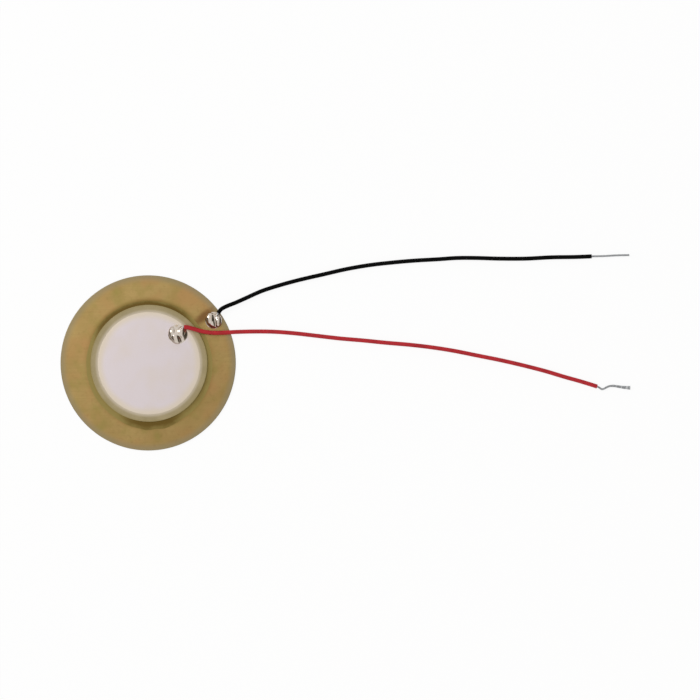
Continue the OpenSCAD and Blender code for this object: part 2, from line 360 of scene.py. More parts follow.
def rolled_brass(paints):
    """Brass sheet, cold rolled and stamped: fine lines along the strip, dull tarnished flecks, painted shade
    towards its front right, a rubbed edge.

    The soldering left brown burnt flux beside the joint, and the glue left an olive stain round the ceramic.
    """
    material, tree, place = new_material("rolled_brass")
    flat = add(tree, "VectorMath", {0: place, 1: (1, 1, 0)}, operation="MULTIPLY")
    radius = add(tree, "VectorMath", {0: flat}, out="Value", operation="LENGTH")
    # Rolling lines are finer than a pixel of the render, so they are drawn 0.2 mm wide
    strip = add(tree, "Mapping", {"Vector": place, "Scale": (per_mm(9), per_mm(0.2), per_mm(1))})
    lines = add(tree, "TexNoise", {"Vector": strip, "Scale": 1.0, "Detail": 3.0})
    clouds = add(tree, "TexNoise", {"Vector": place, "Scale": per_mm(5), "Detail": 5.0})
    specks = add(tree, "TexNoise", {"Vector": place, "Scale": per_mm(0.5), "Detail": 4.0})
    dull = add(tree, "MapRange", {"Value": clouds, "From Min": 0.35, "From Max": 0.68})
    tone = add(tree, "Mix", {SHARE: dull, FIRST: rgba(paints.brass_pale), SECOND: rgba(paints.brass)},
               out=MIXED, data_type="RGBA")
    # The rolling lines catch a little dirt
    streak = add(tree, "MapRange",
                 {"Value": lines, "From Min": 0.3, "From Max": 0.7, "To Min": 0.96, "To Max": 1.04})
    tone = add(tree, "VectorMath", {0: tone, "Scale": streak}, operation="SCALE")
    # Olive bloom of old lacquer and fingers, in patches
    patches = add(tree, "TexNoise", {"Vector": place, "Scale": per_mm(3), "Detail": 3.0})
    bloom = add(tree, "MapRange", {"Value": patches, "From Min": 0.48, "From Max": 0.7, "To Max": 0.9})
    # Coppery patches where sweat drew zinc out of the brass
    zinc = add(tree, "TexNoise", {"Vector": place, "W": 3.0, "Scale": per_mm(4), "Detail": 3.0},
               noise_dimensions="4D")
    bare = add(tree, "MapRange", {"Value": zinc, "From Min": 0.46, "From Max": 0.66, "To Max": 0.8})
    # Painted shade darkens the plate towards its front right, away from the light at the upper left, and
    # dark tarnished flecks lie all over
    front = add(tree, "VectorMath", {0: flat, 1: (0.6, -0.8, 0)}, out="Value", operation="DOT_PRODUCT")
    front = add(tree, "Math", {0: clouds, 1: 8 * MM, 2: front}, operation="MULTIPLY_ADD")
    shade_and_flecks = add(tree, "MapRange", {"Value": front, "From Min": 2 * MM, "From Max": 16 * MM, "To Max": 0.3})
    fleck = add(tree, "MapRange", {"Value": specks, "From Min": 0.55, "From Max": 0.8, "To Max": 0.25})
    shade_and_flecks = add(tree, "Math", {0: shade_and_flecks, 1: fleck}, operation="ADD", use_clamp=True)
    # Glue stain just outside the bead, strongest where much glue came out
    from_glue = add(tree, "VectorMath", {0: flat, 1: CERAMIC_AT + 0.4 * BEAD_SHIFT}, out="Value",
                    operation="DISTANCE")
    stain_r = add(tree, "Math", {0: patches, 1: 0.5 * MM, 2: from_glue}, operation="MULTIPLY_ADD")
    stain = add(tree, "MapRange",
                {"Value": stain_r, "From Min": BEAD_R - 0.15 * MM, "From Max": BEAD_R + 0.8 * MM,
                 "To Min": 0.7, "To Max": 0.0}, interpolation_type="SMOOTHSTEP")
    flow = add(tree, "MapRange", {"Value": glue_share(tree, flat), "To Min": 0.3, "To Max": 1.0})
    stain = add(tree, "Math", {0: stain, 1: flow}, operation="MULTIPLY")
    # Rubbed edge
    edge = add(tree, "MapRange",
               {"Value": radius, "From Min": PLATE_R - 1.3 * MM, "From Max": PLATE_R, "To Max": 0.85},
               interpolation_type="SMOOTHSTEP")
    # Burnt flux that ran from the joint towards the ceramic
    burn_at = BRASS_FOOT + Vector((-1.5, 0.55, 0)) * MM
    run = add(tree, "Mapping",
              {"Vector": flat, "Location": (burn_at.x, burn_at.y, 0), "Rotation": (0, 0, math.radians(38)),
               "Scale": (2.5 * MM, 1.0 * MM, 1)}, vector_type="TEXTURE")
    away = add(tree, "VectorMath", {0: run}, out="Value", operation="LENGTH")
    ragged = add(tree, "Math", {0: specks, 1: 0.5, 2: away}, operation="MULTIPLY_ADD")
    burn = add(tree, "MapRange",
               {"Value": ragged, "From Min": 0.5, "From Max": 1.35, "To Min": 0.75, "To Max": 0.0},
               interpolation_type="SMOOTHSTEP")
    # Each coat lies over the ones before it
    coats = (
        (bloom, paints.brass_olive), (bare, paints.brass_copper), (shade_and_flecks, paints.tarnish_and_shade),
        (stain, paints.epoxy), (edge, paints.worn_edge), (burn, paints.burnt_flux),
    )
    for share, paint in coats:
        tone = add(tree, "Mix", {SHARE: share, FIRST: tone, SECOND: rgba(paint)},
                   out=MIXED, data_type="RGBA")
    rough = add(tree, "MapRange", {"Value": specks, "To Min": 0.34, "To Max": 0.5})
    grain = add(tree, "Bump", {"Height": lines, "Strength": 0.3, "Distance": 0.004 * MM})
    skin = add(tree, "BsdfPrincipled",
               {"Base Color": tone, "Metallic": 1.0, "Roughness": rough, "Normal": grain})
    add(tree, "OutputMaterial", {"Surface": skin})
    return material


def cured_epoxy(paints):
    """Epoxy glue, squeezed out and cured: satin, dark where it is thick and clear at its thin edge."""
    material, tree, place = new_material("cured_epoxy")
    height = add(tree, "SeparateXYZ", {"Vector": place}, out="Z")
    clouds = add(tree, "TexNoise", {"Vector": place, "Scale": per_mm(1.5), "Detail": 4.0})
    uneven = add(tree, "Math", {0: clouds, 1: 0.06 * MM, 2: height}, operation="MULTIPLY_ADD")
    # Where less glue came out, more of the brass shows through
    flat = add(tree, "VectorMath", {0: place, 1: (1, 1, 0)}, operation="MULTIPLY")
    flow = glue_share(tree, flat)
    uneven = add(tree, "Math", {0: flow, 1: 0.022 * MM, 2: uneven}, operation="MULTIPLY_ADD")
    thick = add(tree, "MapRange",
                {"Value": uneven, "From Min": PLATE_TOP + 0.02 * MM, "From Max": PLATE_TOP + 0.085 * MM},
                interpolation_type="SMOOTHSTEP")
    flow = add(tree, "MapRange", {"Value": flow, "To Min": 0.1, "To Max": 1.0})
    thick = add(tree, "Math", {0: thick, 1: flow}, operation="MULTIPLY")
    tone = add(tree, "Mix", {SHARE: thick, FIRST: rgba(paints.epoxy_thin), SECOND: rgba(paints.epoxy)},
               out=MIXED, data_type="RGBA")
    ripple = add(tree, "Bump", {"Height": clouds, "Strength": 0.25, "Distance": 0.02 * MM})
    skin = add(tree, "BsdfPrincipled",
               {"Base Color": tone, "Roughness": 0.45, "IOR": 1.52, "Specular IOR Level": 0.1,
                "Normal": ripple})
    add(tree, "OutputMaterial", {"Surface": skin})
    return material


def piezo_ceramic(paints):
    """Sintered piezo ceramic: matt, faintly grainy, with handling stains."""
    material, tree, place = new_material("piezo_ceramic")
    stains = add(tree, "TexNoise", {"Vector": place, "Scale": per_mm(2.5), "Detail": 5.0})
    # Sintered grains are a few microns wide, so they are drawn 0.12 mm wide
    grains = add(tree, "TexNoise", {"Vector": place, "Scale": per_mm(0.12), "Detail": 2.0})
    both = add(tree, "Math", {0: grains, 1: 0.35, 2: stains}, operation="MULTIPLY_ADD")
    dark = add(tree, "MapRange", {"Value": both, "From Min": 0.5, "From Max": 0.95, "To Max": 0.7})
    # A haze of silver lies outside the print, and glue crept over the rim
    flat = add(tree, "VectorMath", {0: place, 1: (1, 1, 0)}, operation="MULTIPLY")
    radius = add(tree, "VectorMath", {0: flat, 1: CERAMIC_AT}, out="Value", operation="DISTANCE")
    haze = add(tree, "MapRange",
               {"Value": radius, "From Min": SILVER_R, "From Max": SILVER_R + 0.55 * MM, "To Min": 0.5,
                "To Max": 0.0}, interpolation_type="SMOOTHSTEP")
    creep = add(tree, "Math", {0: stains, 1: 0.4 * MM, 2: radius}, operation="MULTIPLY_ADD")
    creep = add(tree, "MapRange",
                {"Value": creep, "From Min": CERAMIC_R - 0.2 * MM, "From Max": CERAMIC_R + 0.25 * MM,
                 "To Max": 0.6}, interpolation_type="SMOOTHSTEP")
    tone = rgba(paints.ceramic)
    for share, paint in ((dark, paints.ceramic_dark), (haze, paints.silver_rim), (creep, paints.epoxy_thin)):
        tone = add(tree, "Mix", {SHARE: share, FIRST: tone, SECOND: rgba(paint)},
                   out=MIXED, data_type="RGBA")
    pits = add(tree, "Bump", {"Height": grains, "Strength": 0.2, "Distance": 0.006 * MM})
    skin = add(tree, "BsdfPrincipled", {"Base Color": tone, "Roughness": 0.7, "IOR": 1.6, "Normal": pits})
    add(tree, "OutputMaterial", {"Surface": skin})
    return material


def fired_silver(paints):
    """Silver paste, screen printed and fired: satin, with the weave of the screen and a thin creamy rim."""
    material, tree, place = new_material("fired_silver")
    flat = add(tree, "VectorMath", {0: place, 1: (1, 1, 0)}, operation="MULTIPLY")
    radius = add(tree, "VectorMath", {0: flat, 1: CERAMIC_AT}, out="Value", operation="DISTANCE")
    clouds = add(tree, "TexNoise", {"Vector": place, "Scale": per_mm(4), "Detail": 5.0})
    rim_r = add(tree, "Math", {0: clouds, 1: 0.5 * MM, 2: radius}, operation="MULTIPLY_ADD")
    rim = add(tree, "MapRange",
              {"Value": rim_r, "From Min": SILVER_R - 1.1 * MM, "From Max": SILVER_R + 0.15 * MM},
              interpolation_type="SMOOTHSTEP")
    smear = add(tree, "MapRange", {"Value": clouds, "From Min": 0.45, "From Max": 0.8, "To Max": 0.45})
    tone = rgba(paints.silver)
    for share in (smear, rim):
        tone = add(tree, "Mix", {SHARE: share, FIRST: tone, SECOND: rgba(paints.silver_rim)},
                   out=MIXED, data_type="RGBA")
    # Threads of the printing screen are 0.14 mm apart, too fine to show, so they are drawn 0.28 mm apart. A
    # wave texture runs through 20 radians in each unit
    threads = per_mm(0.28) * math.tau / 20
    warp = add(tree, "TexWave", {"Vector": place, "Scale": threads}, wave_type="BANDS", bands_direction="X")
    weft = add(tree, "TexWave", {"Vector": place, "Scale": threads}, wave_type="BANDS", bands_direction="Y")
    weave = add(tree, "Math", {0: warp, 1: weft}, operation="MULTIPLY")
    print_bump = add(tree, "Bump", {"Height": weave, "Strength": 0.3, "Distance": 0.004 * MM})
    rough = add(tree, "MapRange", {"Value": clouds, "To Min": 0.48, "To Max": 0.6})
    skin = add(tree, "BsdfPrincipled",
               {"Base Color": tone, "Metallic": 0.85, "Roughness": rough, "Normal": print_bump})
    add(tree, "OutputMaterial", {"Surface": skin})
    return material


def melted_solder(paints):
    """Tin-lead solder, melted by hand: bright and lumpy, with dull patches and thin yellow flux."""
    material, tree, place = new_material("melted_solder")
    patches = add(tree, "TexNoise", {"Vector": place, "Scale": per_mm(0.8), "Detail": 4.0})
    skin_grain = add(tree, "TexNoise", {"Vector": place, "Scale": per_mm(0.15), "Detail": 3.0})
    fluxed = add(tree, "MapRange", {"Value": patches, "From Min": 0.55, "From Max": 0.75, "To Max": 0.6})
    tone = add(tree, "Mix", {SHARE: fluxed, FIRST: rgba(paints.solder), SECOND: rgba(paints.flux)},
               out=MIXED, data_type="RGBA")
    rough = add(tree, "MapRange",
                {"Value": patches, "From Min": 0.3, "From Max": 0.75, "To Min": 0.1, "To Max": 0.32})
    dimple = add(tree, "Bump", {"Height": skin_grain, "Strength": 0.08, "Distance": 0.02 * MM})
    skin = add(tree, "BsdfPrincipled",
               {"Base Color": tone, "Metallic": 1.0, "Roughness": rough, "Normal": dimple})
    add(tree, "OutputMaterial", {"Surface": skin})
    return material


def tinned_copper(paints):
    """Copper strands, dipped in tin and drawn: bright grey with fine dull patches."""
    material, tree, place = new_material("tinned_copper")
    patches = add(tree, "TexNoise", {"Vector": place, "Scale": per_mm(0.25), "Detail": 3.0})
    shade = add(tree, "MapRange",
                {"Value": patches, "From Min": 0.3, "From Max": 0.7, "To Min": 0.75, "To Max": 1.0})
    tone = add(tree, "VectorMath", {0: paints.tinned, "Scale": shade}, operation="SCALE")
    rough = add(tree, "MapRange", {"Value": patches, "To Min": 0.22, "To Max": 0.42})
    skin = add(tree, "BsdfPrincipled", {"Base Color": tone, "Metallic": 1.0, "Roughness": rough})
    add(tree, "OutputMaterial", {"Surface": skin})
    return material


def soft_pvc(name, paint, gloss):
    """Soft PVC, extruded over the strands: smooth, with faint die lines along the wire and handling dirt."""
    material, tree, place = new_material(name)
    # The wire's own map runs from 0 to 1 along it and round it: die lines 0.14 mm wide and about 4 mm long
    along = add(tree, "UVMap")
    lines_at = add(tree, "Mapping", {"Vector": along, "Scale": (14.0, 14.0, 1.0)})
    lines = add(tree, "TexNoise", {"Vector": lines_at, "Scale": 1.0, "Detail": 2.0})
    dirt = add(tree, "TexNoise", {"Vector": place, "Scale": per_mm(1.2), "Detail": 4.0})
    shade = add(tree, "MapRange",
                {"Value": dirt, "From Min": 0.3, "From Max": 0.75, "To Min": 1.03, "To Max": 0.74})
    tone = add(tree, "VectorMath", {0: paint, "Scale": shade}, operation="SCALE")
    rough = add(tree, "MapRange", {"Value": dirt, "To Min": 0.36, "To Max": 0.52})
    die = add(tree, "Bump", {"Height": lines, "Strength": 0.3, "Distance": 0.01 * MM})
    skin = add(tree, "BsdfPrincipled",
               {"Base Color": tone, "Roughness": rough, "IOR": 1.53, "Specular IOR Level": gloss,
                "Normal": die})
    add(tree, "OutputMaterial", {"Surface": skin})
    return material


def backdrop_paper(paints, glow):
    """Matt white paper under the disc, with faint fibres, lifted towards white as in a light tent."""
    material, tree, place = new_material("backdrop_paper")
    fibres = add(tree, "TexNoise", {"Vector": place, "Scale": per_mm(1.0), "Detail": 3.0})
    shade = add(tree, "MapRange", {"Value": fibres, "To Min": 0.995, "To Max": 1.0})
    tone = add(tree, "VectorMath", {0: paints.floor, "Scale": shade}, operation="SCALE")
    matt = add(tree, "BsdfPrincipled", {"Base Color": tone, "Roughness": 0.95, "Specular IOR Level": 0.0})
    white = add(tree, "Emission", {"Color": (1, 1, 1, 1), "Strength": 1.0})
    seen = add(tree, "LightPath", out="Is Camera Ray")
    for way in ("Is Glossy Ray", "Is Transmission Ray"):
        other = add(tree, "LightPath", out=way)
        seen = add(tree, "Math", {0: seen, 1: other}, operation="MAXIMUM")
    lift = add(tree, "Math", {0: seen, 1: glow}, operation="MULTIPLY")
    skin = add(tree, "MixShader", {0: lift, 1: matt, 2: white})
    add(tree, "OutputMaterial", {"Surface": skin})
    return material


def light_tent(stage, paints):
    """World of a light tent that is bright above, behind and in front, and open at its two dark sides."""
    world = bpy.data.worlds.new("studio")
    world.use_nodes = True
    tree = world.node_tree
    tree.nodes.clear()
    way = add(tree, "TexCoord", out="Generated")
    side = add(tree, "SeparateXYZ", {"Vector": way}, out="X")
    side = add(tree, "Math", {0: side, 1: TENT_LEAN}, operation="ADD")
    side = add(tree, "Math", {0: side}, operation="ABSOLUTE")
    glow = add(tree, "MapRange",
               {"Value": side, "From Min": TENT_WALL, "From Max": TENT_OPEN, "To Min": stage.overhead,
                "To Max": stage.surround}, interpolation_type="SMOOTHSTEP")
    wall = add(tree, "MapRange", {"Value": glow, "From Min": stage.surround, "From Max": stage.overhead})
    tint = add(tree, "Mix", {SHARE: wall, FIRST: rgba(paints.tent_side), SECOND: (1, 1, 1, 1)},
               out=MIXED, data_type="RGBA")
    sky = add(tree, "Background", {"Color": tint, "Strength": glow})
    add(tree, "OutputWorld", {"Surface": sky})
    return world


def revolve(outline, steps):
    """Spin a half outline of (radius, height) pairs, from axis to axis, into a closed solid."""
    bm = bmesh.new()
    verts = [bm.verts.new((r, 0, z)) for r, z in outline]
    edges = [bm.edges.new(pair) for pair in zip(verts, verts[1:])]
    bmesh.ops.spin(
        bm, geom=verts + edges, cent=(0, 0, 0), axis=(0, 0, 1), angle=math.tau, steps=steps, use_merge=True,
    )
    bmesh.ops.remove_doubles(bm, verts=bm.verts, dist=MERGE_GAP)
    bmesh.ops.recalc_face_normals(bm, faces=bm.faces)
    return bm


def round_wave(turn, size):
    """Smooth random number from -1 to 1 at a direction round the disc, in waves of a size at its rim."""
    return noise.noise(Vector((math.cos(turn), math.sin(turn), 0.37)) * CERAMIC_R / size)


def glue_flow(turn):
    """Share of the full flow of glue at a direction round the ceramic."""
    share = 0
    for at, full, end, most in GLUE_FLOWS:
        near, far = (math.cos(math.radians(a)) for a in (full, end))
        step = min(max((math.cos(turn - math.radians(at)) - far) / (near - far), 0), 1)
        share = max(share, most * step * step * (3 - 2 * step))
    return share


def make_piece(bm, name, material, nodes):
    """Finish a bmesh as a piece of the disc that stands for its solids."""
    mesh = bpy.data.meshes.new(name)
    bm.to_mesh(mesh)
    bm.free()
    mesh.shade_smooth()
    mesh.set_sharp_from_angle(angle=SHARP_ANGLE)
    mesh.materials.append(material)
    piece = bpy.data.objects.new(name, mesh)
    bpy.context.scene.collection.objects.link(piece)
    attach(piece, "root")
    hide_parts(*nodes)
    return piece


def baked(holder):
    """Bmesh of an object's evaluated shape. The object is removed."""
    bpy.context.scene.collection.objects.link(holder)
    mesh = bpy.data.meshes.new_from_object(holder.evaluated_get(bpy.context.evaluated_depsgraph_get()))
    bm = bmesh.new()
    bm.from_mesh(mesh)
    bpy.data.meshes.remove(mesh)
    bpy.data.objects.remove(holder)
    return bm


def tubes(lines, diameter, sides):
    """Round tubes along lines of points, with flat ends."""
    curve = bpy.data.curves.new("route", "CURVE")
    curve.dimensions = "3D"
    curve.bevel_depth = diameter / 2
    # A round bevel has four sides, and two more for each step of its resolution
    curve.bevel_resolution = (sides - 4) // 2
    curve.use_fill_caps = True
    for line in lines:
        spline = curve.splines.new("POLY")
        spline.points.add(len(line) - 1)
        for point, at in zip(spline.points, line):
            point.co = (*at, 1)
    return baked(bpy.data.objects.new("route", curve))


def lead_points(foot, tail, route, tip, sizes):
    """Points of a lead in the disc's frame, from inside its joint to its far end."""
    points = [foot + Vector(p) * MM for p in tail]
    for x, y, share in route + tip:
        height = sizes.wire_diameter / 2 + share * (foot.z + sizes.lift)
        points.append(Vector((foot.x + x * MM, foot.y + y * MM, height)))
    return points


def smooth_line(points, first, last, steps):
    """Places on the smooth curve through a lead's points, from its first point to its last."""
    ends = [2 * points[0] - points[1], *points, 2 * points[-1] - points[-2]]
    line = [points[first].copy()]
    for i in range(first, last):
        before, a, b, after = ends[i:i + 4]
        line += interpolate_bezier(a, a + (b - before) / 6, b - (after - a) / 6, b, steps + 1)[1:]
    return line


def strand_lines(line, sizes, fray):
    """Lines of the strands round a lead's middle line: one core, and the others that turn round it."""
    last = len(line) - 1
    lay = sizes.strand_diameter + sizes.strand_gap
    lines = [[] for _ in range(OUTER_STRANDS + 1)]
    for i, at in enumerate(line):
        ahead = (line[min(i + 1, last)] - line[max(i - 1, 0)]).normalized()
        side = Vector((0, 0, 1)).cross(ahead).normalized()
        up = ahead.cross(side)
        spread = lay * (1 + (fray - 1) * (i / last) ** 3)
        turned = sizes.strand_turn * (at - line[0]).length / MM
        lines[0].append(at)
        for strand in range(1, OUTER_STRANDS + 1):
            turn = math.tau * strand / OUTER_STRANDS + turned
            lines[strand].append(at + spread * (math.cos(turn) * side + math.sin(turn) * up))
    return lines


def jacket(line, sizes):
    """Insulation of a lead, with rounded cut ends and a socket round the strands at each end."""
    bm = tubes([line], sizes.wire_diameter, WIRE_SIDES)
    # The bundle of strands is three strands across
    bundle = 3 * sizes.strand_diameter + 2 * sizes.strand_gap
    # Only the end caps have more than four corners
    caps = [face for face in bm.faces if len(face.verts) > 4]
    rims = [edge for face in caps for edge in face.edges]
    bmesh.ops.bevel(
        bm, geom=rims, offset=CUT_EDGE, offset_type="OFFSET", segments=3, profile=0.5, affect="EDGES",
        material=-1,
    )
    caps = [face for face in bm.faces if len(face.verts) > 4]
    wall = (sizes.wire_diameter - bundle) / 2 - SOCKET_GAP
    bmesh.ops.inset_individual(bm, faces=caps, thickness=wall, use_even_offset=True)
    bmesh.ops.inset_individual(
        bm, faces=caps, thickness=SOCKET_TAPER, depth=-SOCKET_DEPTH, use_even_offset=True,
    )
    return bm


def solder_outline(r, h):
    """Half outline of a joint: a hollow foot that wets its seat and a round crown, on a deep base."""
    reach = (r * r + h * h) / (2 * h)
    crown = reach - FOOT_HOLLOW
    lean = math.asin(r / reach)
    turns = [lean * k / ARC_STEPS for k in range(ARC_STEPS + 1)]
    foot = [(r - FOOT_HOLLOW * math.sin(t), FOOT_HOLLOW * (1 - math.cos(t))) for t in turns]
    dome = [(crown * math.sin(t), h - crown * (1 - math.cos(t))) for t in reversed(turns[:-1])]
    return [(0, -BASE_DEPTH), (r, -BASE_DEPTH), *foot, *dome]


def solder_blob(foot, r, h, lumps, dents, voxel):
    """Joint of lumpy solder: a wetted foot and lumps melted into one dented skin, cut flat on its seat."""
    bm = revolve(solder_outline(r, h), JOINT_STEPS)
    for at, half, turn in lumps:
        spot = Matrix.Translation(Vector(at) * MM) @ Matrix.Rotation(math.radians(turn), 4, "Z")
        bmesh.ops.create_icosphere(bm, subdivisions=4, radius=MM, matrix=spot @ Matrix.Diagonal((*half, 1)))
    # The remesher's smallest voxel is a tenth of a millimetre, so the joint is melted a thousand times
    # larger, with a unit for each millimetre
    bmesh.ops.scale(bm, vec=Vector((1, 1, 1)) / MM, verts=bm.verts)
    mesh = bpy.data.meshes.new("solder")
    bm.to_mesh(mesh)
    bm.free()
    holder = bpy.data.objects.new("solder", mesh)
    melt = holder.modifiers.new("melt", "REMESH")
    melt.mode = "VOXEL"
    melt.voxel_size = voxel / MM
    bm = baked(holder)
    for vert in bm.verts:
        for a, b, wide, deep in dents:
            share = min(max(intersect_point_line(vert.co.xy, a, b)[1], 0), 1)
            away = (vert.co.xy - Vector(a).lerp(Vector(b), share)).length
            fade = min(max(vert.co.z, 0) / DENT_FADE, 1)
            vert.co.z -= deep * math.exp(-(away / wide) ** 2) * fade
    for _ in range(MELT_PASSES):
        bmesh.ops.smooth_vert(
            bm, verts=bm.verts, factor=0.5, use_axis_x=True, use_axis_y=True, use_axis_z=True,
        )
    bm.normal_update()
    for vert in bm.verts:
        vert.co += vert.normal * RIPPLE_HEIGHT * noise.noise(vert.co / RIPPLE_WIDTH + foot / MM)
    bmesh.ops.scale(bm, vec=Vector((1, 1, 1)) * MM, verts=bm.verts)
    cut = bmesh.ops.bisect_plane(
        bm, geom=bm.verts[:] + bm.edges[:] + bm.faces[:], plane_co=(0, 0, 0), plane_no=(0, 0, 1),
        clear_inner=True,
    )
    bmesh.ops.edgeloop_fill(bm, edges=[e for e in cut["geom_cut"] if isinstance(e, bmesh.types.BMEdge)])
    bmesh.ops.translate(bm, vec=foot, verts=bm.verts)
    bmesh.ops.recalc_face_normals(bm, faces=bm.faces)
    return bm


class PIEZO_OT_stage(bpy.types.Operator):
    """Set the camera, the light and the paper under the disc"""

    bl_idname = "piezo.stage"
    bl_label = "Stage"

    def execute(self, context):
        stage = context.scene.piezo_stage
        paints = context.scene.piezo_colours
        context.scene.view_settings.view_transform = "Standard"

        view = bpy.data.cameras.new("camera")
        view.lens = stage.lens
        view.clip_start = 10 * MM
        camera = bpy.data.objects.new("camera", view)
        away = stage.frame_width * view.lens / view.sensor_width
        camera.location = (stage.aim_across, stage.aim_along, PLATE_TOP + away)
        context.scene.collection.objects.link(camera)
        context.scene.camera = camera

        bm = bmesh.new()
        bmesh.ops.create_grid(bm, x_segments=1, y_segments=1, size=PAPER_HALF)
        bmesh.ops.translate(bm, vec=(0, 0, -PAPER_GAP), verts=bm.verts)
        sheet = bpy.data.meshes.new("floor")
        bm.to_mesh(sheet)
        bm.free()
        sheet.materials.append(backdrop_paper(paints, stage.paper_glow))
        floor = bpy.data.objects.new("floor", sheet)
        context.scene.collection.objects.link(floor)

        box = bpy.data.lights.new("soft_box", "AREA")
        box.shape = "SQUARE"
        box.size = KEY_SIZE
        box.energy = stage.key_power
        key = bpy.data.objects.new("soft_box", box)
        key.location = KEY_AT
        key.rotation_euler = key.location.to_track_quat("Z", "Y").to_euler()
        context.scene.collection.objects.link(key)

        context.scene.world = light_tent(stage, paints)
        return {"FINISHED"}


class PIEZO_OT_leads(bpy.types.Operator):
    """Make the black and the red lead, with their bare strands at both ends"""

    bl_idname = "piezo.leads"
    bl_label = "Leads"

    def execute(self, context):
        sizes = context.scene.piezo_leads
        paints = context.scene.piezo_colours
        tin = tinned_copper(paints)
        leads = (
            ("black", BRASS_FOOT, BLACK_TAIL, BLACK_ROUTE, BLACK_TIP, sizes.black_length, NO_FRAY,
             soft_pvc("black_soft_pvc", paints.black_pvc, BLACK_GLOSS)),
            ("red", SILVER_FOOT, RED_TAIL, RED_ROUTE, RED_TIP, sizes.red_length, sizes.fray,
             soft_pvc("red_soft_pvc", paints.red_pvc, RED_GLOSS)),
        )
        for name, foot, tail, route, tip, real_length, fray, pvc in leads:
            points = lead_points(foot, tail, route, tip, sizes)
            cut = len(tail)
            strip = cut + len(route) - 1
            line = smooth_line(points, cut, strip, ROUTE_STEPS)
            cover = make_piece(jacket(line, sizes), f"{name}_jacket", pvc, [f"{name}_lead"])
            bare_ends = (("tail", 0, cut, NO_FRAY), ("tip", strip, len(points) - 1, fray))
            for end, first, last, spread in bare_ends:
                lines = strand_lines(smooth_line(points, first, last, BARE_STEPS), sizes, spread)
                bare = tubes(lines, sizes.strand_diameter, STRAND_SIDES)
                make_piece(bare, f"{name}_strands_{end}", tin,
                                       [f"{name}_lead_{end}"])
        return {"FINISHED"}


class PIEZO_OT_brass_plate(bpy.types.Operator):
    """Make the stamped brass plate with its rolled upper edge"""

    bl_idname = "piezo.brass_plate"
    bl_label = "Brass plate"

    def execute(self, context):
        sizes = context.scene.piezo_sizes
        r, edge = sizes.plate_radius, sizes.plate_edge
        roll = [math.radians(a) for a in range(0, 91, 15)]
        upper = [(r - edge + edge * math.cos(a), PLATE_TOP - edge + edge * math.sin(a)) for a in roll]
        # Under the smooth cut of the stamp the sheet broke off, a little further in
        bite = 0.015 * MM
        broken = PLATE_LOW + 0.09 * MM
        cut = PLATE_LOW + 0.11 * MM
        outline = [(0, PLATE_LOW), (r - 2 * bite, PLATE_LOW), (r - bite, PLATE_LOW + bite),
                   (r - bite, broken), (r, cut), *upper, (0, PLATE_TOP)]
        brass = rolled_brass(context.scene.piezo_colours)
        make_piece(revolve(outline, SPIN_STEPS), "brass_sheet", brass, ["brass_plate"])
        return {"FINISHED"}


class PIEZO_OT_bond_layer(bpy.types.Operator):
    """Make the epoxy under and round the ceramic, with its uneven flow and the drops that ran out of it"""

    bl_idname = "piezo.bond_layer"
    bl_label = "Glue"

    def execute(self, context):
        sizes = context.scene.piezo_sizes
        r, rise, shift = sizes.ceramic_radius, sizes.bead_height, sizes.bead_shift
        outline = [(0, BACK_SILVER_LOW), (BACK_SILVER_R, BACK_SILVER_LOW), (BACK_SILVER_R, CERAMIC_LOW),
                   (r, CERAMIC_LOW), (r, PLATE_TOP + rise)]
        outline += [(r + share * sizes.bead_width, PLATE_TOP + rise * high) for share, high in BEAD_FACE]
        outline += [(0, PLATE_TOP)]
        bm = revolve(outline, SPIN_STEPS)
        # The even bead is then given its own width and height in each direction
        for vert in bm.verts:
            out = math.hypot(vert.co.x, vert.co.y)
            if out < r - WALL_GAP:
                continue
            turn = math.atan2(vert.co.y, vert.co.x)
            lean = (shift[0] * math.cos(turn) + shift[1] * math.sin(turn)) / sizes.bead_width
            flow = glue_flow(turn)
            way = math.degrees(turn)
            drop = sum(far * math.exp(-((way - at) / half) ** 2) for at, half, far in GLUE_DROPS)
            wide = 1 + lean
            for share, size in BEAD_EDGE_WAVES:
                wide += share * round_wave(turn, size)
            # Little glue leaves a bead a fifth narrower, and no wave passes the bead's outline
            wide = min(wide, 1 + lean) * (0.8 + 0.2 * flow) + drop
            share, size = BEAD_CREST_WAVE
            tall = 0.7 + 0.3 * flow + 0.2 * lean + share * round_wave(turn, size)
            # Much glue fills the hollow face, and a drop bulges
            if out > r + WALL_GAP:
                tall += 0.6 * flow + 2 * drop
            reach = r + (out - r) * wide
            vert.co.x = reach * math.cos(turn)
            vert.co.y = reach * math.sin(turn)
            if vert.co.z > CERAMIC_LOW:
                vert.co.z = CERAMIC_LOW + (vert.co.z - CERAMIC_LOW) * tall
        bmesh.ops.translate(bm, vec=CERAMIC_AT, verts=bm.verts)
        make_piece(bm, "epoxy_bond", cured_epoxy(context.scene.piezo_colours), ["bond_layer"])
        return {"FINISHED"}


class PIEZO_OT_ceramic(bpy.types.Operator):
    """Make the sintered ceramic disc with its small broken edges"""

    bl_idname = "piezo.ceramic"
    bl_label = "Ceramic"

    def execute(self, context):
        r = context.scene.piezo_sizes.ceramic_radius
        chip = 0.015 * MM
        outline = [(0, CERAMIC_LOW), (r - chip, CERAMIC_LOW), (r, CERAMIC_LOW + chip),
                   (r, CERAMIC_TOP - chip), (r - chip, CERAMIC_TOP), (0, CERAMIC_TOP)]
        bm = revolve(outline, SPIN_STEPS)
        bmesh.ops.translate(bm, vec=CERAMIC_AT, verts=bm.verts)
        ceramic = piezo_ceramic(context.scene.piezo_colours)
        make_piece(bm, "ceramic_wafer", ceramic, ["ceramic_disc"])
        return {"FINISHED"}


